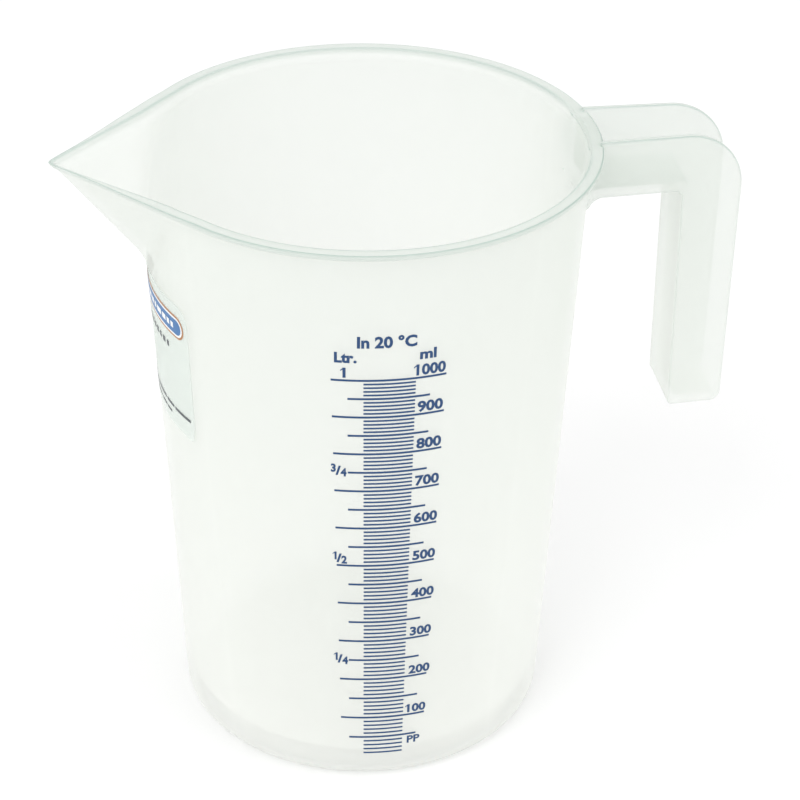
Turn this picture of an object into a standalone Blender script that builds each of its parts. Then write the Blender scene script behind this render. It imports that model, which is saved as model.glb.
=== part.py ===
"""One-litre measuring jug: a tapered translucent beaker with a pouring spout, an open channel handle,
a printed scale in 10 ml steps and a stuck-on label.

Metres, +Z up. The spout points along -X, the handle along +X, and the scale faces -Y. The origin is
the centre of the object's footprint box, on the plane that the jug stands on. Heights and radii below
are measured from the beaker's own axis, which stands AXIS_X to the spout's side of the origin.
"""

from math import atan2, cos, hypot, pi, radians, sin, sqrt

import bmesh
import bpy
from mathutils import Vector

# Beaker. Its wall is a cone: BASE_RADIUS is where the outer wall would meet the table.
RIM_HEIGHT = 0.1665
BASE_RADIUS = 0.04905
TAPER = 0.053
WALL = 0.0016
FLOOR_HEIGHT = 0.0074
FLOOR_THICKNESS = 0.0018
FLOOR_FILLET = 0.003
HEEL_HEIGHT = 0.0055
FOOT_OUTER = 0.0452
FOOT_INNER = 0.0440
RECESS_RADIUS = 0.0428

# Rim: a flat lip that stands out all round, and thins towards the spout's tip.
LIP = 0.0031
LIP_AT_TIP = 0.0006
LIP_THICKNESS = 0.0018
LIP_EDGE = 0.0005

# Spout: two flat flanks that meet in a keel, from the tip down to the wall.
SPOUT_RADIUS = 0.0796
KEEL_SLOPE = 0.8066
FLANK_ANGLE = radians(45.5)
SPOUT_BLEND = 0.003
SPOUT_HALF_ANGLE = radians(30)
BLEND_END_ANGLE = radians(45)
KEEL_ROUNDING_TOP = radians(0.8)
KEEL_ROUNDING_FOOT = radians(4)
SPOUT_FOOT_HEIGHT = 0.133

# Handle: two side plates joined by a web on the finger side, open above and outside.
HANDLE_TOP = RIM_HEIGHT + 0.0008
HANDLE_REACH = 0.0975
HANDLE_FOOT_REACH = 0.0962
HANDLE_FOOT = 0.0870
HANDLE_CORNER = 0.0152
HANDLE_FOOT_CORNER = 0.003
ARM_UNDERSIDE = 0.1516
GRIP_INSIDE = 0.0816
GAP_FILLET = 0.004
GAP_CORNER = 0.002
PLATE = 0.0016
WEB = 0.0017
HALF_WIDTH_AT_ROOT = 0.0112
HALF_WIDTH_AT_END = 0.0098
ROOT_X = 0.057

# Print and label. Angles are measured round the axis from +X, and pairs are at the scale's foot and head.
SCALE_CENTRE = radians(-92.4)
BAND_HALF_ANGLES = (radians(5.95), radians(6.65))
BAND_SHIFT = radians(0.1)
LONG_HALF_ANGLES = (radians(12.6), radians(14.8))
SHORT_HALF_ANGLES = (radians(10.3), radians(10.6))
STEP_ML = 50
FULL_ML = 1000
FINE_STEP_ML = 10
LINE_HEIGHT = 0.0005
FINE_LINE_HEIGHT = 0.00035
INK = 0.0002
LABEL_HALF_ANGLE = radians(29)
LABEL_LOW = 0.0968
LABEL_HIGH = 0.1352
LABEL_CORNER = 0.005
LABEL_THICKNESS = 0.0002

GAP = 0.0003  # kept between neighbouring solids
AXIS_X = -(HANDLE_REACH - SPOUT_RADIUS - LIP_AT_TIP / sin(FLANK_ANGLE)) / 2
MM = 0.001


def clear_scene():
    for obj in list(bpy.data.objects):
        bpy.data.objects.remove(obj)


def make_material(name, colour, roughness, alpha=1.0):
    material = bpy.data.materials.new(name)
    material.use_nodes = True
    shader = material.node_tree.nodes["Principled BSDF"]
    shader.inputs["Base Color"].default_value = (*colour, 1.0)
    shader.inputs["Roughness"].default_value = roughness
    shader.inputs["Metallic"].default_value = 0.0
    shader.inputs["Alpha"].default_value = alpha
    return material


def smooth_step(value):
    share = min(max(value, 0.0), 1.0)
    return share * share * (3 - 2 * share)


def smooth_max(a, b, width):
    """The larger of a and b, rounded over where they differ by less than width."""
    if width <= 0:
        return max(a, b)
    near = max(width - abs(a - b), 0.0) / width
    return max(a, b) + near * near * width / 4


def wall_radius(z):
    return BASE_RADIUS + TAPER * z


def keel_radius(z):
    return SPOUT_RADIUS - KEEL_SLOPE * (RIM_HEIGHT - z)


def lip_width(from_spout):
    return LIP_AT_TIP + (LIP - LIP_AT_TIP) * smooth_step(from_spout / SPOUT_HALF_ANGLE)


def outline_radius(from_spout, z, offset):
    """Distance from the axis to the surface offset outside the wall, this far round from the spout."""
    round_part = wall_radius(z) + offset
    if from_spout >= BLEND_END_ANGLE:
        return round_part
    down = (RIM_HEIGHT - z) / (RIM_HEIGHT - SPOUT_FOOT_HEIGHT)
    rounding = KEEL_ROUNDING_TOP + (KEEL_ROUNDING_FOOT - KEEL_ROUNDING_TOP) * smooth_step(down)
    turned = min(hypot(from_spout, rounding) - rounding, pi / 2 - FLANK_ANGLE)
    flank = (keel_radius(z) * sin(FLANK_ANGLE) + offset) / sin(FLANK_ANGLE + turned)
    fade = (BLEND_END_ANGLE - from_spout) / (BLEND_END_ANGLE - SPOUT_HALF_ANGLE)
    return smooth_max(round_part, flank, SPOUT_BLEND * smooth_step(fade))


def ring_angles():
    """Angles from the spout round to the handle and back, close together at the spout's tip."""
    spout = [radians(a) for a in (0, 0.7, 1.6, 3, 5, 8, 11.5, 15, 18.5, 22, 25.5, 29, 33, 38, 44)]
    steps = 18
    rest = [radians(44) + (pi - radians(44)) * i / steps for i in range(1, steps + 1)]
    half = spout + rest
    return half + [-a for a in reversed(half[1:-1])]


def ring(radius_of, z):
    points = []
    for angle in ring_angles():
        radius = radius_of(abs(angle))
        points.append(Vector((-radius * cos(angle), radius * sin(angle), z)))
    return points


def round_ring(radius, z):
    return ring(lambda from_spout: radius, z)


def wall_ring(z, offset):
    return ring(lambda from_spout: outline_radius(from_spout, z, offset), z)


def lip_ring(z, inset):
    return ring(lambda a: outline_radius(a, z, lip_width(a) - inset), z)


def heel_rings():
    """The rounded edge between the foot and the wall, as a quarter ellipse."""
    rings = []
    steps = 5
    reach = wall_radius(HEEL_HEIGHT) - FOOT_OUTER
    for i in range(1, steps + 1):
        turn = pi / 2 * i / steps
        rings.append(round_ring(FOOT_OUTER + reach * sin(turn), HEEL_HEIGHT * (1 - cos(turn))))
    return rings


def floor_fillet_rings():
    rings = []
    steps = 3
    inner = wall_radius(FLOOR_HEIGHT + FLOOR_FILLET) - WALL
    for i in range(steps + 1):
        turn = pi / 2 * i / steps
        radius = inner - FLOOR_FILLET * (1 - cos(turn))
        rings.append(round_ring(radius, FLOOR_HEIGHT + FLOOR_FILLET * (1 - sin(turn))))
    return rings


def jug_rings():
    """Rings from the underside out to the foot, up the outside, over the rim and down to the floor."""
    underside = FLOOR_HEIGHT - FLOOR_THICKNESS
    top, lip_under = RIM_HEIGHT, RIM_HEIGHT - LIP_THICKNESS
    spout_levels = [SPOUT_FOOT_HEIGHT + 0.0038 * i for i in range(8)]
    rings = [round_ring(RECESS_RADIUS, underside)]
    rings.append(round_ring(RECESS_RADIUS + 0.5 * MM, underside - 0.6 * MM))
    rings.append(round_ring(FOOT_INNER, 0))
    rings.append(round_ring(FOOT_OUTER, 0))
    rings += heel_rings()
    rings += [wall_ring(z, 0) for z in spout_levels]
    rings.append(wall_ring(lip_under - 0.5 * MM, 0))
    rings.append(lip_ring(lip_under, LIP_EDGE))
    rings.append(lip_ring(lip_under + LIP_EDGE, 0))
    rings.append(lip_ring(top - LIP_EDGE, 0))
    rings.append(lip_ring(top, LIP_EDGE))
    rings.append(wall_ring(top, 0))
    rings.append(wall_ring(top - 0.8 * MM, -0.7 * MM))
    rings.append(wall_ring(top - 3 * MM, -WALL))
    rings += [wall_ring(z, -WALL) for z in reversed(spout_levels)]
    return rings + floor_fillet_rings()


def add_object(name, mesh_builder, material, frame):
    """An object whose mesh is what mesh_builder leaves in a bmesh, with its faces turned outward."""
    shape = bmesh.new()
    mesh_builder(shape)
    bmesh.ops.recalc_face_normals(shape, faces=shape.faces[:])
    mesh = bpy.data.meshes.new(name)
    shape.to_mesh(mesh)
    shape.free()
    mesh.shade_smooth()
    mesh.set_sharp_from_angle(angle=radians(32))
    mesh.materials.append(material)
    obj = bpy.data.objects.new(name, mesh)
    bpy.context.scene.collection.objects.link(obj)
    obj.parent = frame
    return obj


def bridge(shape, first, second):
    count = len(first)
    for i in range(count):
        j = (i + 1) % count
        shape.faces.new((first[i], first[j], second[j], second[i]))


def cap(shape, loop, z):
    centre = shape.verts.new((0, 0, z))
    for i, vert in enumerate(loop):
        shape.faces.new((vert, loop[(i + 1) % len(loop)], centre))


def build_jug_body(shape):
    loops = [[shape.verts.new(p) for p in points] for points in jug_rings()]
    for first, second in zip(loops, loops[1:]):
        bridge(shape, first, second)
    cap(shape, loops[0], FLOOR_HEIGHT - FLOOR_THICKNESS)
    cap(shape, loops[-1], FLOOR_HEIGHT)


def half_width(x):
    share = (x - ROOT_X) / (HANDLE_REACH - ROOT_X)
    return HALF_WIDTH_AT_ROOT + (HALF_WIDTH_AT_END - HALF_WIDTH_AT_ROOT) * share


def arc(centre_x, centre_z, radius, start, end, steps):
    """Points of an arc in the XZ plane, angles in degrees from +X towards +Z."""
    turns = [radians(start + (end - start) * i / steps) for i in range(steps + 1)]
    return [(centre_x + radius * cos(t), centre_z + radius * sin(t)) for t in turns]


def plate_outline():
    """The side plate seen from -Y: (x, z) points, with x None where the edge follows the beaker's wall."""
    lip_clear = RIM_HEIGHT - LIP_THICKNESS - 3 * GAP
    lip_front = sqrt((wall_radius(RIM_HEIGHT) + LIP + GAP) ** 2 - (HALF_WIDTH_AT_ROOT - PLATE) ** 2)
    fillet_x = wall_radius(ARM_UNDERSIDE) - 0.5 * MM + GAP_FILLET
    points = [(lip_front, HANDLE_TOP)]
    points += arc(HANDLE_REACH - HANDLE_CORNER, HANDLE_TOP - HANDLE_CORNER, HANDLE_CORNER, 90, 0, 8)
    foot_x, foot_z = HANDLE_FOOT_REACH - HANDLE_FOOT_CORNER, HANDLE_FOOT + HANDLE_FOOT_CORNER
    points += arc(foot_x, foot_z, HANDLE_FOOT_CORNER, 0, -90, 4)
    points.append((GRIP_INSIDE, HANDLE_FOOT))
    points += arc(GRIP_INSIDE - GAP_CORNER, ARM_UNDERSIDE - GAP_CORNER, GAP_CORNER, 0, 90, 3)
    points += arc(fillet_x, ARM_UNDERSIDE - GAP_FILLET, GAP_FILLET, 90, 150, 3)
    points += [(None, ARM_UNDERSIDE - GAP_FILLET), (None, lip_clear), (lip_front, lip_clear)]
    return points


def plate_builder(side):
    def build(shape):
        layers = []
        for depth in (0, PLATE):
            layer = []
            for x, z in plate_outline():
                if x is None:
                    y = HALF_WIDTH_AT_ROOT - depth
                    x = sqrt((wall_radius(z) + GAP) ** 2 - (HALF_WIDTH_AT_ROOT - PLATE) ** 2)
                else:
                    y = half_width(x) - depth
                layer.append(shape.verts.new((x, side * y, z)))
            layers.append(layer)
        bridge(shape, *layers)
        for layer in layers:
            shape.faces.new(layer)

    return build


def slab_builder(plan, low, high):
    """A slab of the given (x, y) plan between two heights."""

    def build(shape):
        layers = [[shape.verts.new((x, y, z)) for x, y in plan] for z in (low, high)]
        bridge(shape, *layers)
        for layer in layers:
            shape.faces.new(layer)

    return build


def channel_half_width(x):
    return half_width(x) - PLATE - GAP


def arm_web_plan():
    """From the beaker's wall, which its root follows, to the outside of the grip's web."""
    end = GRIP_INSIDE + WEB
    root_radius = wall_radius(ARM_UNDERSIDE + WEB) + GAP
    reach = atan2(channel_half_width(ROOT_X), root_radius)
    steps = 8
    turns = [reach * (1 - 2 * i / steps) for i in range(steps + 1)]
    root = [(root_radius * cos(t), root_radius * sin(t)) for t in turns]
    return root + [(end, -channel_half_width(end)), (end, channel_half_width(end))]


def box_plan(low, high):
    return [
        (low, -channel_half_width(low)),
        (high, -channel_half_width(high)),
        (high, channel_half_width(high)),
        (low, channel_half_width(low)),
    ]


def add_handle(material, frame):
    add_object("handle_front_plate", plate_builder(-1), material, frame)
    add_object("handle_back_plate", plate_builder(1), material, frame)
    arm_web = slab_builder(arm_web_plan(), ARM_UNDERSIDE, ARM_UNDERSIDE + WEB)
    add_object("handle_arm_web", arm_web, material, frame)
    grip_plan = box_plan(GRIP_INSIDE, GRIP_INSIDE + WEB)
    grip_web = slab_builder(grip_plan, HANDLE_FOOT, ARM_UNDERSIDE - GAP)
    add_object("handle_grip_web", grip_web, material, frame)
    end_plan = box_plan(GRIP_INSIDE + WEB + GAP, HANDLE_FOOT_REACH - HANDLE_FOOT_CORNER / 2)
    end_wall = slab_builder(end_plan, HANDLE_FOOT, HANDLE_FOOT + WEB)
    add_object("handle_end_wall", end_wall, material, frame)


def volume_below(z):
    """What the beaker holds up to this height, in cubic metres, counted in thin slices."""
    slices = 200
    step = (z - FLOOR_HEIGHT) / slices
    total = 0.0
    for i in range(slices):
        height = FLOOR_HEIGHT + (i + 0.5) * step
        below = max(FLOOR_FILLET - (height - FLOOR_HEIGHT), 0.0)
        cut = FLOOR_FILLET - sqrt(FLOOR_FILLET**2 - below**2)
        total += pi * (wall_radius(height) - WALL - cut) ** 2 * step
    return total


def height_of(millilitres):
    """Where the surface of this much liquid stands, found by halving."""
    low, high = FLOOR_HEIGHT, RIM_HEIGHT
    for _ in range(40):
        middle = (low + high) / 2
        if volume_below(middle) < millilitres * 1e-6:
            low = middle
        else:
            high = middle
    return (low + high) / 2


def film_builder(start, end, low, high, thickness, corner=0.0, columns=6):
    """A thin sheet that lies round the wall between two angles and two heights, with rounded corners."""
    radius = wall_radius((low + high) / 2)

    def rounded(turn):
        if not corner:
            return 0.0
        from_end = min(turn - start, end - turn) * radius
        inside = max(corner - from_end, 0.0)
        return corner - sqrt(max(corner**2 - inside**2, 0.0))

    def turns():
        if not corner:
            return [start + (end - start) * i / columns for i in range(columns + 1)]
        curve = [corner / radius * (1 - cos(pi / 2 * i / 4)) for i in range(5)]
        straight_start, straight_end = start + curve[-1], end - curve[-1]
        middle = [straight_start + (straight_end - straight_start) * i / columns for i in range(1, columns)]
        return [start + c for c in curve] + middle + [end - c for c in reversed(curve)]

    def build(shape):
        columns_made = []
        for turn in turns():
            cut = rounded(turn)
            column = []
            bottom, top = low + cut, high - cut
            for z, offset in ((bottom, 0), (top, 0), (top, thickness), (bottom, thickness)):
                reach = wall_radius(z) + GAP + offset
                column.append(shape.verts.new((reach * cos(turn), reach * sin(turn), z)))
            columns_made.append(column)
        for first, second in zip(columns_made, columns_made[1:]):
            bridge(shape, first, second)
        shape.faces.new(columns_made[0])
        shape.faces.new(columns_made[-1])

    return build


def up_the_scale(ends, amount):
    """A value that changes evenly from the scale's foot to its head."""
    foot, head = ends
    return foot + (head - foot) * amount / FULL_ML


def add_graduations(material, frame):
    """One line every 50 ml, longer at each 100 ml."""
    for amount in range(STEP_ML, FULL_ML + 1, STEP_ML):
        ends = LONG_HALF_ANGLES if amount % (2 * STEP_ML) == 0 else SHORT_HALF_ANGLES
        reach = up_the_scale(ends, amount)
        z = height_of(amount)
        line = film_builder(
            SCALE_CENTRE - reach, SCALE_CENTRE + reach, z - LINE_HEIGHT / 2, z + LINE_HEIGHT / 2, INK
        )
        add_object(f"graduation_{amount:04d}_ml", line, material, frame)


def add_fine_lines(material, frame):
    """The four 10 ml lines between each two graduations, as one patch that covers them."""
    centre = SCALE_CENTRE + BAND_SHIFT
    for amount in range(STEP_ML, FULL_ML + 1, STEP_ML):
        low = height_of(amount - STEP_ML + FINE_STEP_ML) - FINE_LINE_HEIGHT / 2
        high = height_of(amount - FINE_STEP_ML) + FINE_LINE_HEIGHT / 2
        reach = up_the_scale(BAND_HALF_ANGLES, amount)
        patch = film_builder(centre - reach, centre + reach, low, high, INK, columns=3)
        add_object(f"fine_lines_{amount - STEP_ML:04d}_{amount:04d}_ml", patch, material, frame)


def add_label(material, frame):
    label = film_builder(
        pi - LABEL_HALF_ANGLE,
        pi + LABEL_HALF_ANGLE,
        LABEL_LOW,
        LABEL_HIGH,
        LABEL_THICKNESS,
        corner=LABEL_CORNER,
        columns=10,
    )
    add_object("adhesive_label", label, material, frame)


def build_jug():
    clear_scene()
    frame = bpy.data.objects.new("jug_frame", None)
    frame.location = (AXIS_X, 0, 0)
    bpy.context.scene.collection.objects.link(frame)
    plastic = make_material("translucent_polypropylene", (0.87, 0.90, 0.86), 0.32, alpha=0.6)
    ink = make_material("navy_ink", (0.03, 0.05, 0.16), 0.5)
    paper = make_material("label_film", (0.84, 0.88, 0.90), 0.4)
    add_object("jug_body", build_jug_body, plastic, frame)
    add_handle(plastic, frame)
    add_graduations(ink, frame)
    add_fine_lines(ink, frame)
    add_label(paper, frame)


build_jug()
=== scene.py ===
"""Looks of the one-litre measuring jug: one seamless moulding with its channel handle, the printed
scale with its numerals, and the label, in soft studio light.

Metres, +Z up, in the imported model's frame. Angles round the beaker's axis are measured from +X.
"""

from math import acos, atan2, cos, hypot, pi, radians, sin, sqrt

import bmesh
import bpy
from mathutils import Matrix, Vector


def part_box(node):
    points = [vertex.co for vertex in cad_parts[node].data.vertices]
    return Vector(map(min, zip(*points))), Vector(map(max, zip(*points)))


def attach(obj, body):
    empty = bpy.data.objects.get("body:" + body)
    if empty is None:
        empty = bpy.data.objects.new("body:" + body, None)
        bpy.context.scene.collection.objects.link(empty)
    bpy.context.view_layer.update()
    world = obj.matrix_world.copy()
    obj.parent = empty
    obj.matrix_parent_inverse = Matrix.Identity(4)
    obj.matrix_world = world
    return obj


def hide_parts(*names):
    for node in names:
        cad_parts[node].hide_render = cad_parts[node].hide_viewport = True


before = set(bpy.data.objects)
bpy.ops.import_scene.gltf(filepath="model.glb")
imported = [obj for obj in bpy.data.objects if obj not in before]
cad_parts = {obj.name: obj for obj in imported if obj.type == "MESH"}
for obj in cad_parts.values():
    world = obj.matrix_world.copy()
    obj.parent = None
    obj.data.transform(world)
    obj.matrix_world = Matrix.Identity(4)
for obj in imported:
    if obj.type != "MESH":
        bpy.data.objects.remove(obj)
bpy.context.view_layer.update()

MM = 0.001
SHARP_ANGLE = radians(40)

# Beaker, as in the CAD. Its wall is a cone: BASE_RADIUS is where the outer wall would meet the table.
BODY_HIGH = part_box("jug_body")[1]
RIM_HEIGHT = BODY_HIGH.z
RIM_RADIUS = BODY_HIGH.y
AXIS_X = BODY_HIGH.x - RIM_RADIUS
BASE_RADIUS = 49.05 * MM
TAPER = 0.053
WALL = 1.6 * MM
FLOOR_HEIGHT = 7.4 * MM
FLOOR_THICKNESS = 1.8 * MM
FLOOR_FILLET = 3.0 * MM
HEEL_HEIGHT = 5.5 * MM
FOOT_OUTER = 45.2 * MM
FOOT_INNER = 44.0 * MM
FOOT_EDGE = 0.3 * MM
RECESS_RADIUS = 42.8 * MM
RECESS_CORNER = (0.8 * MM, 0.6 * MM)  # across and down

# Rim: a flat lip that stands out all round, and thins towards the spout's tip.
LIP = RIM_RADIUS - BASE_RADIUS - TAPER * RIM_HEIGHT
LIP_AT_TIP = 0.45 * MM
LIP_THICKNESS = 1.5 * MM
LIP_EDGE = 0.5 * MM
LIP_CORNER = 0.4 * MM
RIM_INNER_EDGE = 0.1 * MM
RIM_ROUNDING = 0.45 * MM
RIM_SLOPE_START = 0.6 * MM
RIM_SLOPE_DEPTH = 3.0 * MM

# Spout: two flat flanks that meet in a keel, from the tip down to the wall.
SPOUT_RADIUS = 79.6 * MM
KEEL_SLOPE = 0.8066
FLANK_ANGLE = radians(45.5)
SPOUT_BLEND = 3.0 * MM
SPOUT_HALF_ANGLE = radians(30)
BLEND_END_ANGLE = radians(45)
KEEL_ROUNDING_TOP = radians(0.8)
KEEL_ROUNDING_FOOT = radians(4)
SPOUT_FOOT_HEIGHT = 133 * MM

# Handle: two side plates joined by a web on the finger side, open above and outside.
PLATE_LOW, PLATE_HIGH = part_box("handle_front_plate")
HANDLE_TOP = PLATE_HIGH.z
HANDLE_REACH = PLATE_HIGH.x - AXIS_X
HANDLE_FOOT_REACH = HANDLE_REACH - 1.3 * MM
HANDLE_FOOT = PLATE_LOW.z
HANDLE_CORNER = 15.2 * MM
HANDLE_FOOT_CORNER = 3.0 * MM
HEEL_CORNER = 1.0 * MM
ARM_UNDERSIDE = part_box("handle_arm_web")[0].z
GRIP_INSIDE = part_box("handle_grip_web")[0].x - AXIS_X
GAP_FILLET = 4.0 * MM
GAP_FILLET_BITE = 0.5 * MM  # how far the fillet's end lies inside the wall
GAP_CORNER = 2.0 * MM
FOLD_RADIUS = 0.5 * MM
PLATE = 1.6 * MM
PLATE_EDGE = 0.5 * MM
PLATE_FLAT_START = 1.8 * PLATE_EDGE
WEB = 1.7 * MM
WEB_FILLET = 0.9 * MM
WEB_INSET = 0.05 * MM
ROOT_FILLET = 2.2 * MM
PAD_HALF_ANGLE = radians(16.2)
PAD_HALF_HEIGHT = 11 * MM
PAD_MIDDLE = 157 * MM
PAD_THICKNESS = 0.6 * MM
HALF_WIDTH_AT_ROOT = 11.2 * MM
HALF_WIDTH_AT_END = 9.8 * MM
ROOT_X = 57 * MM

# Depth of the plastic and painted shade, from 0 on a plain wall to 1 on a tight edge, and where each value
# starts.
LIP_TOP_DEPTH = 0.15
# The lip's side is painted darker than its top: painted shade.
LIP_SIDE_PAINTED_SHADE = 0.26
# The rim's inner edge carries a painted dark line where the real rim refracts its dark surroundings.
INNER_EDGE_PAINTED_LINE = 0.6
PAD_DEPTH = 0.2
HANDLE_DEPTH = 0.07
# The channel's floor in the arm is painted darker: painted shade in the recess.
ARM_FLOOR_PAINTED_SHADE = 0.32
# Tight edges carry a painted dark line, weaker where the edge stands upright.
UPRIGHT_EDGE_SHARE = 0.22
LEAST_EDGE_WIDTH = 0.05 * MM
RIM_EDGE_DROP = 0.4 * MM
RIM_EDGE_REACH = (-0.5 * MM, 0.15 * MM)  # its inner and outer end, outward from the wall's outer face
PAD_HIDES_EDGE = 0.6  # of the pad's half angle: the painted line on the rim's inner edge shows from here on
SURFACE_MARGIN = 0.1 * MM
EDGE_CURVATURE = (0.35, 1.55)  # per millimetre: where an edge's painted dark line starts, and where it is full
LARGE_FACE = 30 * MM**2

# Print and label.
SCALE_CENTRE = radians(-92.4)
BAND_HALF_ANGLE = (radians(5.95), radians(6.65))  # at the scale's foot and at its head
BAND_SHIFT = radians(0.1)
LONG_HALF_ANGLE = (radians(12.6), radians(14.8))
SHORT_HALF_ANGLE = (radians(10.3), radians(10.6))
STEP_ML = 50
FULL_ML = 1000
FINE_STEP_ML = 10
LINE_HEIGHT = 0.6 * MM
FINE_LINE_HEIGHT = 0.52 * MM
CAD_FINE_LINE_HEIGHT = 0.35 * MM
INK_CLEARANCE = 0.03 * MM
INK = 0.03 * MM
NUMERAL_HEIGHT = (2.5 * MM, 3.0 * MM)
NUMERAL_LEFT = radians(-85.0)
NUMERAL_GAP = 0.55 * MM
NUMERAL_WEIGHT = 0.038
FRACTION_LEFT = radians(-107.4)
FRACTION_HEIGHT = 2.3 * MM
FRACTION_STEP = 1.15 * MM
CAPITAL_HEIGHT = 0.7  # of the font's size
LABEL_HALF_ANGLE = radians(29)
LABEL_LOW = 96.8 * MM
LABEL_HIGH = 136 * MM
LABEL_CORNER = 5 * MM
LABEL_THICKNESS = 0.12 * MM
LABEL_CLEARANCE = 0.05 * MM
PEEL_RADIUS = 6.5 * MM
PEEL_HEIGHT = 1.0 * MM
PEEL_CORNER_SHARE = 0.2
PRINT_STEP = 0.02 * MM
OVAL_MIDDLE = 129.3 * MM
OVAL_REACH = 26.3 * MM
OVAL_HALF_HEIGHT = 3.4 * MM
OVAL_BORDER = 0.6 * MM

# Camera, as it stood: distance and height of what it looks at, on the beaker's axis.
CAMERA_DISTANCE = 749.8 * MM
CAMERA_AZIMUTH = radians(-99)
CAMERA_ELEVATION = radians(31.53)
CAMERA_AIM_HEIGHT = 89.6 * MM
CAMERA_YAW = radians(0.757)
CAMERA_ROLL = radians(0.313)
CAMERA_LENS_MM = 125.6
CAMERA_SENSOR_MM = 36

# Plastic: its colours, with painted light and shade, how much of what is behind a wall it hides, and how it
# scatters.
# The wall's colour is painted lighter towards the foot and darker towards the rim, for how the light falls.
PLASTIC_AT_FOOT_PAINTED_LIGHTER = (0.955, 0.965, 0.94)
PLASTIC_AT_RIM_PAINTED_DARKER = (0.845, 0.87, 0.835)
# Dark colour for thick plastic and for the painted shade on edges, the lip's side and the channel's floor.
PLASTIC_DEEP_AND_PAINTED_SHADE = (0.43, 0.55, 0.50)
PAINTED_GRADIENT_HEIGHTS = (15 * MM, 160 * MM)
PLASTIC_IOR = 1.49
WALL_OPACITY = (0.42, 0.50)
# Depth raises the opacity, the painted shade's as well.
DEEP_AND_PAINTED_SHADE_OPACITY = 0.8
LEAST_STRAIGHT = 0.5
TRANSLUCENT_SHARE = 0.4


# ---------------------------------------------------------------- mesh helpers


def smooth_step(value):
    share = min(max(value, 0.0), 1.0)
    return share * share * (3 - 2 * share)


def smooth_max(a, b, width):
    """The larger of a and b, rounded over where they differ by less than width."""
    if width <= 0:
        return max(a, b)
    near = max(width - abs(a - b), 0.0) / width
    return max(a, b) + near * near * width / 4


def on_axis(radius, turn, z):
    """The point at this distance and angle from the beaker's axis."""
    return Vector((AXIS_X + radius * cos(turn), radius * sin(turn), z))


def bridge(shape, first, second, closed=True):
    count = len(first)
    for i in range(count if closed else count - 1):
        j = (i + 1) % count
        shape.faces.new((first[i], first[j], second[j], second[i]))


def loft(shape, sections, capped=True):
    """A closed tube through sections of equal point counts, its two ends closed by one face each."""
    loops = [[shape.verts.new(p) for p in section] for section in sections]
    for first, second in zip(loops, loops[1:]):
        bridge(shape, first, second)
    if capped:
        shape.faces.new(loops[0])
        shape.faces.new(loops[-1])
    return loops


def make_object(name, build):
    """An object whose mesh is what build leaves in a bmesh, with its faces turned outward."""
    shape = bmesh.new()
    build(shape)
    bmesh.ops.recalc_face_normals(shape, faces=shape.faces[:])
    mesh = bpy.data.meshes.new(name)
    shape.to_mesh(mesh)
    shape.free()
    obj = bpy.data.objects.new(name, mesh)
    bpy.context.scene.collection.objects.link(obj)
    return obj


def shade(obj, material):
    obj.data.shade_smooth()
    obj.data.set_sharp_from_angle(angle=SHARP_ANGLE)
    obj.data.materials.clear()
    obj.data.materials.append(material)


def unite(target, others):
    """Joins the others onto target with exact unions, and removes them."""
    for other in others:
        modifier = target.modifiers.new("union", "BOOLEAN")
        modifier.operation = "UNION"
        modifier.solver = "EXACT"
        modifier.object = other
        graph = bpy.context.evaluated_depsgraph_get()
        mesh = bpy.data.meshes.new_from_object(target.evaluated_get(graph))
        target.modifiers.clear()
        target.data = mesh
        bpy.data.objects.remove(other)
    return target


# ---------------------------------------------------------------- beaker


def wall_radius(z):
    return BASE_RADIUS + TAPER * z


def keel_radius(z):
    return SPOUT_RADIUS - KEEL_SLOPE * (RIM_HEIGHT - z)


def lip_width(from_spout):
    return LIP_AT_TIP + (LIP - LIP_AT_TIP) * smooth_step(from_spout / SPOUT_HALF_ANGLE)


def outline_radius(from_spout, z, offset):
    """Distance from the axis to the surface at this offset outside the wall, this far from the spout."""
    round_part = wall_radius(z) + offset
    if from_spout >= BLEND_END_ANGLE:
        return round_part
    down = (RIM_HEIGHT - z) / (RIM_HEIGHT - SPOUT_FOOT_HEIGHT)
    rounding = KEEL_ROUNDING_TOP + (KEEL_ROUNDING_FOOT - KEEL_ROUNDING_TOP) * smooth_step(down)
    turned = min(hypot(from_spout, rounding) - rounding, pi / 2 - FLANK_ANGLE)
    flank = (keel_radius(z) * sin(FLANK_ANGLE) + offset) / sin(FLANK_ANGLE + turned)
    fade = (BLEND_END_ANGLE - from_spout) / (BLEND_END_ANGLE - SPOUT_HALF_ANGLE)
    return smooth_max(round_part, flank, SPOUT_BLEND * smooth_step(fade))


def ring_angles():
    """Angles from the spout round to the handle and back, closer together towards the spout's tip."""
    spout_steps, round_steps = 44, 90
    half = [BLEND_END_ANGLE * (i / spout_steps) ** 1.7 for i in range(spout_steps)]
    half += [BLEND_END_ANGLE + (pi - BLEND_END_ANGLE) * i / round_steps for i in range(round_steps + 1)]
    return half + [-a for a in reversed(half[1:-1])]


ANGLES = ring_angles()


def ring(radius_of, z):
    return [on_axis(radius_of(abs(angle)), pi - angle, z) for angle in ANGLES]


def round_ring(radius, z):
    return ring(lambda from_spout: radius, z)


def wall_ring(z, offset):
    return ring(lambda from_spout: outline_radius(from_spout, z, offset), z)


def edge_inset(from_spout, share):
    """How far a share of the lip's edge rounding reaches inward, less where the lip is narrow."""
    return share * min(LIP_EDGE, 0.6 * lip_width(from_spout))


def lip_ring(z, share):
    return ring(lambda a: outline_radius(a, z, lip_width(a) - edge_inset(a, share)), z)


def flat_ring(share):
    """On the rim's flat top, from its inner edge at 0 to where the lip's edge rounding starts at 1."""

    def radius_of(from_spout):
        outer = lip_width(from_spout) - edge_inset(from_spout, 1)
        return outline_radius(from_spout, RIM_HEIGHT, RIM_INNER_EDGE + (outer - RIM_INNER_EDGE) * share)

    return ring(radius_of, RIM_HEIGHT)


def quarter(steps, start=0):
    """Quarter-turn angles from start on, evenly spaced."""
    return [pi / 2 * i / steps for i in range(start, steps + 1)]


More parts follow.
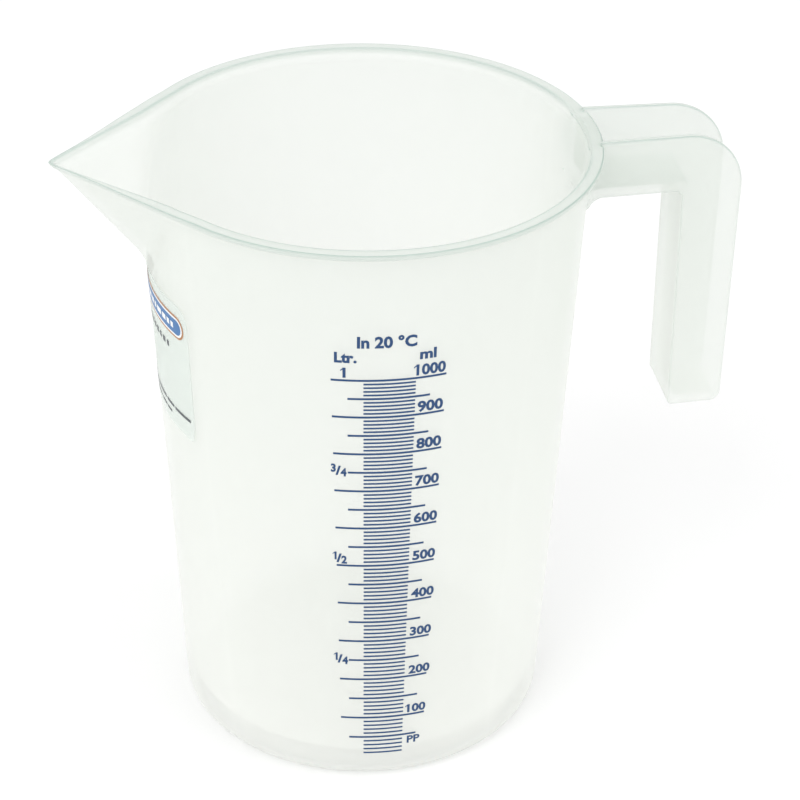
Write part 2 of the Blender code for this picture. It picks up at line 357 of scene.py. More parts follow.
def foot_rings():
    """From the recessed underside over the narrow foot ring to the start of the wall."""
    underside = FLOOR_HEIGHT - FLOOR_THICKNESS
    across, drop = RECESS_CORNER
    rings = [round_ring(RECESS_RADIUS * share, underside) for share in (0.25, 0.5, 0.75, 0.97)]
    rings += [
        round_ring(RECESS_RADIUS + across * (sin(t) - 0.5), underside - drop * (1 - cos(t)))
        for t in quarter(4)
    ]
    rings += [
        round_ring(FOOT_INNER - FOOT_EDGE * cos(t), FOOT_EDGE * (1 - sin(t)))
        for t in quarter(4)
    ]
    rings.append(round_ring(FOOT_OUTER, 0))
    reach = wall_radius(HEEL_HEIGHT) - FOOT_OUTER
    rings += [
        round_ring(FOOT_OUTER + reach * sin(t), HEEL_HEIGHT * (1 - cos(t))) for t in quarter(12, start=1)
    ]
    return rings


def levels(low, high, count):
    """Heights between low and high, both left out."""
    return [low + (high - low) * i / count for i in range(1, count)]


def rim_rings():
    """Under the lip, round its edge, over the flat top and down the slope inside."""
    top, lip_under = RIM_HEIGHT, RIM_HEIGHT - LIP_THICKNESS
    rings = [wall_ring(lip_under - LIP_CORNER, 0)]
    for t in quarter(3, start=1):
        z = lip_under - LIP_CORNER * (1 - sin(t))
        share = 1 - cos(t)
        rings.append(ring(lambda a: outline_radius(a, z, min(LIP_CORNER, lip_width(a) / 2) * share), z))
    rings += [lip_ring(lip_under + LIP_EDGE * (1 - cos(t)), 1 - sin(t)) for t in quarter(4)]
    rings += [lip_ring(top - LIP_EDGE * (1 - sin(t)), 1 - cos(t)) for t in quarter(5)]
    rings += [flat_ring(0.25), flat_ring(0)]
    rings += [
        wall_ring(top - RIM_ROUNDING * (1 - cos(t)), RIM_INNER_EDGE - RIM_ROUNDING * sin(t))
        for t in quarter(5, start=1)
    ]
    slope_steps, slope_offset = 6, 0.42 * MM  # the offset at which the slope starts
    for i in range(1, slope_steps + 1):
        share = i / slope_steps
        z = top - RIM_SLOPE_START - (RIM_SLOPE_DEPTH - RIM_SLOPE_START) * share
        rings.append(wall_ring(z, -slope_offset - (WALL - slope_offset) * sin(share * pi / 2)))
    return rings


def floor_rings():
    inner = wall_radius(FLOOR_HEIGHT + FLOOR_FILLET) - WALL
    rings = [
        round_ring(inner - FLOOR_FILLET * (1 - cos(t)), FLOOR_HEIGHT + FLOOR_FILLET * (1 - sin(t)))
        for t in quarter(8)
    ]
    return rings + [round_ring(inner * share, FLOOR_HEIGHT) for share in (0.75, 0.5, 0.25)]


def build_beaker(shape):
    lip_under = RIM_HEIGHT - LIP_THICKNESS
    under_spout, beside_spout = 10, 26
    outer_levels = levels(HEEL_HEIGHT, SPOUT_FOOT_HEIGHT, under_spout) + [SPOUT_FOOT_HEIGHT]
    outer_levels += levels(SPOUT_FOOT_HEIGHT, lip_under - LIP_CORNER, beside_spout)
    inner_low = FLOOR_HEIGHT + FLOOR_FILLET
    inner_levels = levels(inner_low, SPOUT_FOOT_HEIGHT, under_spout) + [SPOUT_FOOT_HEIGHT]
    inner_levels += levels(SPOUT_FOOT_HEIGHT, RIM_HEIGHT - RIM_SLOPE_DEPTH, beside_spout)
    rings = foot_rings()
    rings += [wall_ring(z, 0) for z in outer_levels]
    rings += rim_rings()
    rings += [wall_ring(z, -WALL) for z in reversed(inner_levels)]
    rings += floor_rings()
    loops = loft(shape, rings, capped=False)
    for loop, z in ((loops[0], FLOOR_HEIGHT - FLOOR_THICKNESS), (loops[-1], FLOOR_HEIGHT)):
        centre = shape.verts.new((AXIS_X, 0, z))
        for i, vert in enumerate(loop):
            shape.faces.new((vert, loop[(i + 1) % len(loop)], centre))


# ---------------------------------------------------------------- handle


def half_width(x):
    share = (x - ROOT_X) / (HANDLE_REACH - ROOT_X)
    return HALF_WIDTH_AT_ROOT + (HALF_WIDTH_AT_END - HALF_WIDTH_AT_ROOT) * share


def wall_x(z, y, offset):
    """Distance along +X from the axis to the beaker's wall, this far to one side."""
    return sqrt((wall_radius(z) + offset) ** 2 - y**2)


def arc(centre_x, centre_z, radius, start, end, steps):
    """Points of an arc in the XZ plane, angles in degrees from +X towards +Z."""
    turns = [radians(start + (end - start) * i / steps) for i in range(steps + 1)]
    return [(centre_x + radius * cos(t), centre_z + radius * sin(t)) for t in turns]


def gap_fillet_centre():
    """Centre of the rounded corner under the arm, where it meets the beaker."""
    return wall_radius(ARM_UNDERSIDE) - GAP_FILLET_BITE + GAP_FILLET, ARM_UNDERSIDE - GAP_FILLET


def plate_outline():
    """The side plate seen from -Y, as (x, z) points from the axis, its root half-way into the wall."""
    root_y = HALF_WIDTH_AT_ROOT - PLATE / 2
    in_wall = -WALL / 2
    lip_clear = RIM_HEIGHT - LIP_THICKNESS / 2
    lip_x = sqrt((RIM_RADIUS - LIP / 3) ** 2 - root_y**2)
    fillet_x, fillet_z = gap_fillet_centre()
    points = [(lip_x, HANDLE_TOP)]
    points += arc(HANDLE_REACH - HANDLE_CORNER, HANDLE_TOP - HANDLE_CORNER, HANDLE_CORNER, 90, 0, 28)
    foot_x, foot_z = HANDLE_FOOT_REACH - HANDLE_FOOT_CORNER, HANDLE_FOOT + HANDLE_FOOT_CORNER
    points += arc(foot_x, foot_z, HANDLE_FOOT_CORNER, 0, -90, 12)
    points += arc(GRIP_INSIDE + HEEL_CORNER, HANDLE_FOOT + HEEL_CORNER, HEEL_CORNER, 270, 180, 6)
    points += arc(GRIP_INSIDE - GAP_CORNER, ARM_UNDERSIDE - GAP_CORNER, GAP_CORNER, 0, 90, 10)
    points += arc(fillet_x, fillet_z, GAP_FILLET, 90, 160, 10)
    points += [(wall_x(z, root_y, in_wall), z) for z in (fillet_z, lip_clear)]
    return points + [(lip_x, lip_clear)]


def inset(points, distance):
    """The closed outline, which runs clockwise, moved inward by distance."""
    moved = []
    count = len(points)
    for i, (x, z) in enumerate(points):
        before, after = points[i - 1], points[(i + 1) % count]
        first = Vector((x - before[0], z - before[1])).normalized()
        second = Vector((after[0] - x, after[1] - z)).normalized()
        along = (first + second).normalized()
        widen = 1 / max(along.dot(first), 0.5)
        moved.append((x + along.y * distance * widen, z - along.x * distance * widen))
    return moved


def plate_builder(side):
    """A plate with both its edges rounded, its outer face following the handle's taper."""

    def build(shape):
        rounding = [(0, PLATE_FLAT_START)]
        rounding += [(PLATE_EDGE * (1 - cos(t)), PLATE_EDGE * (1 - sin(t))) for t in quarter(4)]
        profile = rounding + [(PLATE - depth, moved) for depth, moved in reversed(rounding)]
        sections = []
        for depth, moved in profile:
            outline = inset(plate_outline(), moved)
            sections.append([(AXIS_X + x, side * (half_width(x) - depth), z) for x, z in outline])
        loft(shape, sections)

    return build


def web_path():
    """Pairs of (x, z) points, on the finger side and in the channel, from the root out to the end wall."""
    fillet_x, fillet_z = gap_fillet_centre()
    finger = arc(fillet_x, fillet_z, GAP_FILLET + WEB_INSET, 160, 90, 8)
    channel = arc(fillet_x, fillet_z, GAP_FILLET + WEB, 160, 90, 8)
    corner_x, corner_z = GRIP_INSIDE - GAP_CORNER, ARM_UNDERSIDE - GAP_CORNER
    finger += arc(corner_x, corner_z, GAP_CORNER + WEB_INSET, 90, 0, 8)
    fold_x, fold_z = GRIP_INSIDE + WEB - FOLD_RADIUS, ARM_UNDERSIDE + WEB - FOLD_RADIUS
    channel += arc(fold_x, fold_z, FOLD_RADIUS, 90, 0, 8)
    heel_x, heel_z = GRIP_INSIDE + HEEL_CORNER, HANDLE_FOOT + HEEL_CORNER
    finger += arc(heel_x, heel_z, HEEL_CORNER - WEB_INSET, 180, 270, 8)
    inner_x, inner_z = GRIP_INSIDE + WEB + WEB_FILLET, HANDLE_FOOT + WEB + WEB_FILLET
    channel += arc(inner_x, inner_z, WEB_FILLET, 180, 270, 8)
    end = HANDLE_FOOT_REACH - HANDLE_FOOT_CORNER / 2
    finger.append((end, HANDLE_FOOT + WEB_INSET))
    channel.append((end, HANDLE_FOOT + WEB))
    return list(zip(finger, channel))


def web_profile():
    """Across the channel's floor: (side, distance in from the plate, height above the floor)."""
    rise = [(WEB_FILLET * (1 - cos(t)), WEB_FILLET * (1 - sin(t))) for t in quarter(5)]
    side = [(-1, depth, height) for depth, height in rise]
    return side + [(1, depth, height) for depth, height in reversed(rise)]


def build_web(shape):
    overlap = PLATE / 2
    sections = []
    for (fx, fz), (cx, cz) in web_path():
        up = Vector((cx - fx, cz - fz)).normalized()
        width = half_width(cx) - PLATE
        section = [(fx, -width - overlap, fz), (fx, width + overlap, fz)]
        top_x, top_z = cx + up.x * WEB_FILLET, cz + up.y * WEB_FILLET
        section.append((top_x, width + overlap, top_z))
        for side, depth, height in reversed(web_profile()):
            section.append((cx + up.x * height, side * (width - depth), cz + up.y * height))
        section.append((top_x, -width - overlap, top_z))
        sections.append(section)
    first = []
    low = ARM_UNDERSIDE - GAP_FILLET
    for index, (x, y, z) in enumerate(sections[0]):
        z = low if index < 2 else low + WEB + z - sections[0][4][2]
        first.append((wall_x(z, y, -WALL / 2), y, z))
    sections.insert(0, first)
    loft(shape, [[(AXIS_X + x, y, z) for x, y, z in section] for section in sections])


def root_fillet_builder(side):
    """The rounded corner where a plate runs into the wall, from under the arm up to the lip."""

    def build(shape):
        steps = 8
        sections = []
        for z in (ARM_UNDERSIDE + 0.3 * MM, RIM_HEIGHT - LIP_THICKNESS / 2):
            corner_x = wall_x(z, HALF_WIDTH_AT_ROOT, 0)
            turn = acos(corner_x / wall_radius(z))
            away = turn + ROOT_FILLET / wall_radius(z)
            on_wall = Vector((cos(away), sin(away))) * wall_radius(z)
            corner = Vector((corner_x, half_width(corner_x)))
            on_plate = Vector((corner_x + ROOT_FILLET, half_width(corner_x + ROOT_FILLET)))
            inside = corner + Vector((-0.5, -0.5)) * MM
            section = [inside, on_wall - Vector((cos(away), sin(away))) * 0.3 * MM]
            for i in range(steps + 1):
                t = i / steps
                section.append(on_wall * (1 - t) ** 2 + corner * 2 * t * (1 - t) + on_plate * t**2)
            section.append(on_plate + Vector((0, -0.3 * MM)))
            sections.append([(AXIS_X + p.x, side * p.y, z) for p in section])
        loft(shape, sections)

    return build


def build_root_pad(shape):
    """The oval thickening of the wall that the handle stands on, cut straight under the rim."""
    steps = 72

    def oval(share, offset):
        points = []
        for i in range(steps):
            phi = 2 * pi * i / steps
            z = min(PAD_MIDDLE + PAD_HALF_HEIGHT * sin(phi), RIM_HEIGHT - LIP_THICKNESS / 2)
            z = PAD_MIDDLE + (z - PAD_MIDDLE) * share
            points.append(on_axis(wall_radius(z) + offset, PAD_HALF_ANGLE * cos(phi) * share, z))
        return points

    outer = [(share, PAD_THICKNESS * (1 - share**10)) for share in (0.2, 0.4, 0.6, 0.8, 0.9, 0.95, 0.98)]
    border = [(1.0, -SURFACE_MARGIN), (0.98, -WALL / 2)]
    inner = [(share, -WALL / 2) for share in (0.8, 0.6, 0.4, 0.2)]
    profile = outer + border + inner
    loft(shape, [oval(share, offset) for share, offset in profile])


def edge_share(vert):
    """How tightly the surface turns outward, for a painted dark edge line: 1 for a fine rounding that looks
    up, less for an upright one.
    """
    tightest = 0.0
    for edge in vert.link_edges:
        if len(edge.link_faces) == 2:
            first, second = edge.link_faces
            across = (first.calc_center_median() - second.calc_center_median()).length
            tightest = max(tightest, edge.calc_face_angle_signed(0) / max(across, LEAST_EDGE_WIDTH))
    start, full = EDGE_CURVATURE
    share = smooth_step((tightest * MM - start) / (full - start))
    looks_up = max(vert.normal.z, 0.0)
    return share * (UPRIGHT_EDGE_SHARE + (1 - UPRIGHT_EDGE_SHARE) * looks_up)


def wall_distance(point):
    """How far outside the wall's outer face the point lies."""
    from_spout = pi - abs(atan2(point.y, point.x - AXIS_X))
    return hypot(point.x - AXIS_X, point.y) - outline_radius(from_spout, point.z, 0)


def is_on_pad(point):
    """Whether the point lies on the oval thickening behind the handle."""
    turn = atan2(point.y, point.x - AXIS_X)
    share = hypot(turn / PAD_HALF_ANGLE, (point.z - PAD_MIDDLE) / PAD_HALF_HEIGHT)
    under_lip = point.z < RIM_HEIGHT - LIP_THICKNESS + SURFACE_MARGIN
    return share < 1.02 and under_lip and abs(wall_distance(point)) < PAD_THICKNESS + 0.02 * MM


def inner_edge_depth(point):
    """Depth on the rim's inner edge, a painted dark refraction line, which fades out behind the handle."""
    turn = abs(atan2(point.y, point.x - AXIS_X))
    beyond_pad = smooth_step(turn / PAD_HALF_ANGLE - PAD_HIDES_EDGE)
    return PAD_DEPTH + (INNER_EDGE_PAINTED_LINE - PAD_DEPTH) * beyond_pad


def thick_share(point, normal):
    """Where the plastic is thicker than a plain wall, in the lip and the handle, with painted shade on the
    lip's side and the channel's floor.
    """
    out = wall_distance(point)
    on_lip = RIM_EDGE_REACH[0] < out < LIP + SURFACE_MARGIN
    if on_lip and point.z > RIM_HEIGHT - LIP_THICKNESS - 2 * SURFACE_MARGIN:
        # The lip's side gets painted shade, darker than the lip's top.
        return LIP_TOP_DEPTH if normal.z > 0.5 else LIP_SIDE_PAINTED_SHADE
    if out < PAD_THICKNESS or point.x < AXIS_X:
        return 0.0
    above_arm_floor = point.z - ARM_UNDERSIDE - WEB
    if abs(above_arm_floor) < 3 * SURFACE_MARGIN and point.x < AXIS_X + GRIP_INSIDE + WEB:
        # The channel's floor in the arm gets painted shade.
        return ARM_FLOOR_PAINTED_SHADE
    return HANDLE_DEPTH * abs(normal.y)


def depth_at(vert):
    """From 0 on a plain wall to 1 on a tight edge: the plastic's depth with painted shade and painted dark
    edge lines.
    """
    out = wall_distance(vert.co)
    # The rim's inner edge carries a painted dark refraction line.
    if vert.co.z > RIM_HEIGHT - RIM_EDGE_DROP and RIM_EDGE_REACH[0] < out < RIM_EDGE_REACH[1]:
        return inner_edge_depth(vert.co)
    if is_on_pad(vert.co):
        return PAD_DEPTH
    return max(edge_share(vert), thick_share(vert.co, vert.normal))


def mark_depth(obj):
    """Stores how deep the plastic looks, painted shade included, at each face's corners, with one value all
    over a large face.
    """
    shape = bmesh.new()
    shape.from_mesh(obj.data)
    shape.normal_update()
    shape.verts.ensure_lookup_table()
    values = [depth_at(vert) for vert in shape.verts]
    shape.free()
    corners = []
    for face in obj.data.polygons:
        if face.area > LARGE_FACE:
            corners += [thick_share(face.center, face.normal)] * len(face.vertices)
        else:
            corners += [values[i] for i in face.vertices]
    obj.data.attributes.new("plastic_depth_and_painted_shade", "FLOAT", "CORNER").data.foreach_set("value", corners)


def make_moulding(material):
    """Beaker, spout and handle as one piece."""
    web = make_object("handle_web", build_web)
    plates = [make_object("plate", plate_builder(side)) for side in (-1, 1)]
    fillets = [make_object("root_fillet", root_fillet_builder(side)) for side in (-1, 1)]
    pad = make_object("root_pad", build_root_pad)
    moulding = unite(make_object("jug_moulding", build_beaker), [pad, web, *plates, *fillets])
    mark_depth(moulding)
    shade(moulding, material)
    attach(moulding, "root")
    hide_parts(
        "jug_body",
        "handle_front_plate",
        "handle_back_plate",
        "handle_arm_web",
        "handle_grip_web",
        "handle_end_wall",
    )
    return moulding


# ---------------------------------------------------------------- print


def film_strip(shape, start, end, low, high, clearance, thickness, columns):
    """A closed film that lies round the wall between two angles and two heights."""
    sections = []
    for i in range(columns + 1):
        turn = start + (end - start) * i / columns
        corners = ((low, 0), (high, 0), (high, thickness), (low, thickness))
        sections.append([on_axis(wall_radius(z) + clearance + lift, turn, z) for z, lift in corners])
    loft(shape, sections)


def print_piece(obj, material, *replaced):
    shade(obj, material)
    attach(obj, "root")
    if replaced:
        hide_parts(*replaced)


def height_of(node):
    low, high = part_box(node)
    return (low.z + high.z) / 2


def fine_line_heights(node):
    """The four heights at equal steps between the lowest and the highest line of the CAD patch."""
    low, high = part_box(node)
    first, last = low.z + CAD_FINE_LINE_HEIGHT / 2, high.z - CAD_FINE_LINE_HEIGHT / 2
    count = STEP_ML // FINE_STEP_ML - 1
    return [first + (last - first) * i / (count - 1) for i in range(count)]


def up_the_scale(ends, amount):
    """A value that changes evenly from the scale's foot to its head."""
    foot, head = ends
    return foot + (head - foot) * amount / FULL_ML


def add_graduations(material):
    for amount in range(STEP_ML, FULL_ML + 1, STEP_ML):
        ends = LONG_HALF_ANGLE if amount % (2 * STEP_ML) == 0 else SHORT_HALF_ANGLE
        reach = up_the_scale(ends, amount)
        node = f"graduation_{amount:04d}_ml"
        z = height_of(node)

        def build(shape):
            start, end = SCALE_CENTRE - reach, SCALE_CENTRE + reach
            low, high = z - LINE_HEIGHT / 2, z + LINE_HEIGHT / 2
            film_strip(shape, start, end, low, high, INK_CLEARANCE, INK, 16)

        print_piece(make_object(f"printed_line_{amount:04d}_ml", build), material, node)


def add_fine_lines(material):
    centre = SCALE_CENTRE + BAND_SHIFT
    for amount in range(STEP_ML, FULL_ML + 1, STEP_ML):
        node = f"fine_lines_{amount - STEP_ML:04d}_{amount:04d}_ml"
        reach = up_the_scale(BAND_HALF_ANGLE, amount)

        def build(shape):
            for z in fine_line_heights(node):
                start, end = centre - reach, centre + reach
                low, high = z - FINE_LINE_HEIGHT / 2, z + FINE_LINE_HEIGHT / 2
                film_strip(shape, start, end, low, high, INK_CLEARANCE, INK, 8)

        name = f"printed_fine_lines_{amount - STEP_ML:04d}_{amount:04d}_ml"
        print_piece(make_object(name, build), material, node)


def text_mesh(words, height, width_share, weight):
    """The words as a flat mesh of the given height, starting at x = 0."""
    curve = bpy.data.curves.new("legend", "FONT")
    curve.body = words
    curve.size = 1.0
    curve.offset = weight
    curve.resolution_u = 3
    curve.extrude = 0.5
    obj = bpy.data.objects.new("legend", curve)
    bpy.context.scene.collection.objects.link(obj)
    graph = bpy.context.evaluated_depsgraph_get()
    mesh = bpy.data.meshes.new_from_object(obj.evaluated_get(graph))
    bpy.data.objects.remove(obj)
    left = min(v.co.x for v in mesh.vertices)
    size = height / CAPITAL_HEIGHT
    points = [((v.co.x - left) * size * width_share, v.co.y * size, v.co.z + 0.5) for v in mesh.vertices]
    faces = [tuple(p.vertices) for p in mesh.polygons]
    bpy.data.meshes.remove(mesh)
    return points, faces


def flag_mesh(start, height):
    """The slanted stroke at the head of a figure 1, its points numbered from start on."""
    flag = [(-0.22, 0.66), (-0.22, 0.78), (0.02, 1.0), (0.16, 1.0), (0.16, 0.84), (0.02, 0.84)]
    count = len(flag)
    points = [(x * height, y * height, depth) for depth in (0, 1) for x, y in flag]
    faces = [tuple(range(first, first + count)) for first in (start, start + count)]
    for i in range(count):
        j = (i + 1) % count
        faces.append((start + i, start + j, start + count + j, start + count + i))
    return points, faces


def wrap_text(shape, words, left_turn, low, height, width_share=1.04, weight=0.03):
    """Lays the words on the wall, starting at this angle and with their feet at this height."""
    points, faces = text_mesh(words, height, width_share, weight)
    if words.startswith("1"):
        flag_points, flag_faces = flag_mesh(len(points), height)
        points += flag_points
        faces += flag_faces
    verts = []
    for along, up, depth in points:
        z = low + up
        turn = left_turn + along / wall_radius(z)
        verts.append(shape.verts.new(on_axis(wall_radius(z) + INK_CLEARANCE + INK * depth, turn, z)))
    for face in faces:
        shape.faces.new([verts[i] for i in face])


def build_numerals(shape):
    for amount in range(2 * STEP_ML, FULL_ML + 1, 2 * STEP_ML):
        z = height_of(f"graduation_{amount:04d}_ml") + LINE_HEIGHT / 2 + NUMERAL_GAP
        left, width_share = (radians(-85.6), 0.96) if amount == FULL_ML else (NUMERAL_LEFT, 1.04)
        height = up_the_scale(NUMERAL_HEIGHT, amount)
        wrap_text(shape, str(amount), left, z, height, width_share, NUMERAL_WEIGHT)


def wrap_fraction(shape, above, below, left_turn, middle):
    """A small fraction: its upper figure raised, a stroke, and its lower figure lowered."""
    step = FRACTION_STEP / wall_radius(middle)
    start = 0.6 * step if above == "1" else 0
    wrap_text(shape, above, left_turn + start, middle - 0.4 * MM, FRACTION_HEIGHT, 0.85, 0.045)
    wrap_text(shape, "/", left_turn + step, middle - 1.2 * MM, FRACTION_HEIGHT * 1.1, 1.0, 0.045)
    wrap_text(shape, below, left_turn + 2.1 * step, middle - 1.6 * MM, FRACTION_HEIGHT, 0.85, 0.045)


def build_legends(shape):
    full = height_of(f"graduation_{FULL_ML:04d}_ml")
    wrap_text(shape, "In 20 °C", radians(-100.6), full + 9.6 * MM, 3.1 * MM, 0.99, 0.04)
    for letter, along in (("L", 0), ("t", 1.65), ("r", 3.1), (".", 4.7)):
        left = radians(-106.3) + along * MM / wall_radius(full)
        wrap_text(shape, letter, left, full + 5.3 * MM, 2.8 * MM, 0.98, 0.045)
    wrap_text(shape, "ml", radians(-84.8), full + 5.5 * MM, 2.8 * MM, 1.12, 0.04)
    wrap_text(shape, "1", radians(-104.2), full + 1.0 * MM, 2.6 * MM, 1.0, 0.055)
    for above, below, amount, lift in (("3", "4", 750, 0.5), ("1", "2", 500, 2.3), ("1", "4", 250, 0.3)):
        middle = height_of(f"graduation_{amount:04d}_ml") + lift * MM
        wrap_fraction(shape, above, below, FRACTION_LEFT, middle)
    wrap_text(shape, "PP", radians(-84.8), height_of("graduation_0050_ml") - 3.2 * MM, 2.4 * MM)


def add_lettering(material):
    print_piece(make_object("printed_numerals", build_numerals), material)
    print_piece(make_object("printed_legends", build_legends), material)


# ---------------------------------------------------------------- label


def label_peel(turn, z):
    """How far the label's lower corner on the scale's side stands off the wall."""
    radius = wall_radius(z)
    from_corner = hypot((pi + LABEL_HALF_ANGLE - turn) * radius, z - LABEL_LOW) / PEEL_RADIUS
    return PEEL_HEIGHT * max(1 - from_corner, 0.0) ** 2


def patch(shape, half_reach, limits, clearance, thickness, columns, rows):
    """A closed film under the spout, half_reach to each side, between the limits at each place along."""
    middle_radius = wall_radius((LABEL_LOW + LABEL_HIGH) / 2)
    layers = []
    for lift in (0, thickness):
        grid = []
        for i in range(columns + 1):
            along = half_reach * sin(pi / 2 * (2 * i / columns - 1))
            turn = pi + along / middle_radius
            low, high = limits(along)
            column = []
            for j in range(rows + 1):
                z = low + (high - low) * j / rows
                radius = outline_radius(abs(turn - pi), z, clearance + lift) + label_peel(turn, z)
                column.append(shape.verts.new(on_axis(radius, turn, z)))
            grid.append(column)
        layers.append(grid)
    for grid in layers:
        for first, second in zip(grid, grid[1:]):
            bridge(shape, first, second, closed=False)
    borders = []
    for grid in layers:
        border = [column[0] for column in grid] + grid[-1][1:]
        border += [column[-1] for column in reversed(grid[:-1])]
        border += list(reversed(grid[0][1:-1]))
        borders.append(border)
    bridge(shape, *borders)


def corner_cut(distance, corner):
    inside = min(max(corner - distance, 0.0), corner)
    return corner - sqrt(corner**2 - inside**2)


def rounded_limits(half_reach, low, high, corner):
    """Lower and upper edge of a panel with rounded corners."""

    def limits(along):
        cut = corner_cut(half_reach - abs(along), corner)
        return low + cut, high - cut

    return limits


def label_limits(along):
    """The label's edges: three rounded corners, and the peeling one nearly pointed."""
    half_reach = LABEL_HALF_ANGLE * wall_radius((LABEL_LOW + LABEL_HIGH) / 2)
    cut = corner_cut(half_reach - abs(along), LABEL_CORNER)
    return LABEL_LOW + (cut if along < 0 else PEEL_CORNER_SHARE * cut), LABEL_HIGH - cut


def oval_limits(inset):
    """A long oval across the label, this far inside the outermost one."""
    half_height = OVAL_HALF_HEIGHT - inset
    low, high = OVAL_MIDDLE - half_height, OVAL_MIDDLE + half_height
    return rounded_limits(OVAL_REACH - inset, low, high, half_height)


def label_piece(name, material, build):
    obj = make_object(name, build)
    shade(obj, material)
    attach(obj, "root")
    return obj


def add_label(film, blue, amber, white, grey):
    half_reach = LABEL_HALF_ANGLE * wall_radius((LABEL_LOW + LABEL_HIGH) / 2)
    base = LABEL_CLEARANCE
    sheet = label_piece(
        "label_film",
        film,
        lambda shape: patch(shape, half_reach, label_limits, base, LABEL_THICKNESS, 56, 28),
    )
    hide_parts("adhesive_label")
    ovals = (
        ("label_amber_border", amber, 0),
        ("label_white_border", white, OVAL_BORDER),
        ("label_blue_oval", blue, 2 * OVAL_BORDER),
    )
    for number, (name, material, inset) in enumerate(ovals):
        lift = base + LABEL_THICKNESS + (2 * number + 1) * PRINT_STEP

        def build(shape):
            patch(shape, OVAL_REACH - inset, oval_limits(inset), lift, PRINT_STEP, 60, 8)

        label_piece(name, material, build)
    label_piece("label_text_bars", grey, build_text_bars)
    label_piece("label_oval_bars", white, build_oval_bars)


def bar_row(shape, low, height, start, end, widths, gap, lift):
    """A row of plain bars between two places along the label, where it carries lettering."""
    radius = wall_radius((LABEL_LOW + LABEL_HIGH) / 2)
    along, number = start, 0
    while along < end - 1 * MM:
        stop = min(along + widths[number % len(widths)] * MM, end)
        columns = max(round((stop - along) / MM), 2)
        first, last = pi + along / radius, pi + stop / radius
        film_strip(shape, first, last, low, low + height, lift, PRINT_STEP, columns)
        along, number = stop + gap, number + 1


def build_text_bars(shape):
    on_film = LABEL_CLEARANCE + LABEL_THICKNESS + PRINT_STEP
    bar_row(shape, 120.8 * MM, 1.7 * MM, -17.65 * MM, 17.5 * MM, (1.6, 1.2), 1.2 * MM, on_film)
    bar_row(shape, 102.0 * MM, 0.9 * MM, -26 * MM, 26.2 * MM, (9, 5, 12), 0.8 * MM, on_film)
    bar_row(shape, 99.6 * MM, 0.7 * MM, -18 * MM, 15.2 * MM, (4, 7), 0.8 * MM, on_film)


def build_oval_bars(shape):
    on_oval = LABEL_CLEARANCE + LABEL_THICKNESS + 7 * PRINT_STEP
    low, height = OVAL_MIDDLE - 0.8 * MM, 1.6 * MM
    bar_row(shape, low, height, -21 * MM, 21.5 * MM, (2.2, 1.4, 3.0), 0.8 * MM, on_oval)


# ---------------------------------------------------------------- materials


class Nodes:
    """A material's node tree, with short calls to add to it."""

    def __init__(self, name):
        self.material = bpy.data.materials.new(name)
        self.material.use_nodes = True
        self.tree = self.material.node_tree
        self.shader = self.tree.nodes["Principled BSDF"]

    def add(self, kind, **values):
        node = self.tree.nodes.new(kind)
        for name, value in values.items():
            setattr(node, name, value)
        return node

    def link(self, source, target):
        self.tree.links.new(source, target)

    def math(self, operation, first, second=None):
        node = self.add("ShaderNodeMath", operation=operation)
        for socket, value in zip(node.inputs, (first, second)):
            if value is None:
                continue
            if isinstance(value, (int, float)):
                socket.default_value = value
            else:
                self.link(value, socket)
        return node.outputs[0]

    def noise(self, scale, detail=2.0, stretch=(1, 1, 1)):
        place = self.add("ShaderNodeTexCoord")
        mapping = self.add("ShaderNodeMapping")
        mapping.inputs["Scale"].default_value = stretch
        self.link(place.outputs["Object"], mapping.inputs["Vector"])
        noise = self.add("ShaderNodeTexNoise")
        noise.inputs["Scale"].default_value = scale
        noise.inputs["Detail"].default_value = detail
        self.link(mapping.outputs["Vector"], noise.inputs["Vector"])
        return noise.outputs["Fac"]

    def spread(self, value, low, high):
        """The value, from 0 to 1, spread between low and high."""
        node = self.add("ShaderNodeMapRange")
        node.inputs["To Min"].default_value = low
        node.inputs["To Max"].default_value = high
        self.link(value, node.inputs["Value"])
        return node.outputs["Result"]

    def blend(self, share, first, second):
        """The first colour where share is 0, and the second where it is 1."""
        node = self.add("ShaderNodeMix", data_type="RGBA")
        self.link(share, node.inputs["Factor"])
        # The Mix node has a set of sockets for each data type; inputs 6 and 7 and output 2 are the colours.
        for socket, colour in zip((node.inputs[6], node.inputs[7]), (first, second)):
            if isinstance(colour, tuple):
                socket.default_value = (*colour, 1)
            else:
                self.link(colour, socket)
        return node.outputs[2]

    def height_share(self, low, high):
        """0 at the lower height and under it, rising to 1 at the upper one."""
        place = self.add("ShaderNodeTexCoord")
        parts = self.add("ShaderNodeSeparateXYZ")
        self.link(place.outputs["Object"], parts.inputs["Vector"])
        share = self.add("ShaderNodeMapRange")
        share.inputs["From Min"].default_value = low
        share.inputs["From Max"].default_value = high
        self.link(parts.outputs["Z"], share.inputs["Value"])
        return share.outputs["Result"]

    def mix_shaders(self, share, first, second):
        """The first shader where share is 0, and the second where it is 1."""
        node = self.add("ShaderNodeMixShader")
        if isinstance(share, float):
            node.inputs["Fac"].default_value = share
        else:
            self.link(share, node.inputs["Fac"])
        self.link(first, node.inputs[1])
        self.link(second, node.inputs[2])
        return node.outputs["Shader"]

    def show(self, shader):
        self.link(shader, self.tree.nodes["Material Output"].inputs["Surface"])

    def set(self, **values):
        for name, value in values.items():
            self.shader.inputs[name.replace("_", " ")].default_value = value

    def bump(self, height, strength, distance):
        node = self.add("ShaderNodeBump")
        node.inputs["Strength"].default_value = strength
        node.inputs["Distance"].default_value = distance
        self.link(height, node.inputs["Height"])
        self.link(node.outputs["Normal"], self.shader.inputs["Normal"])


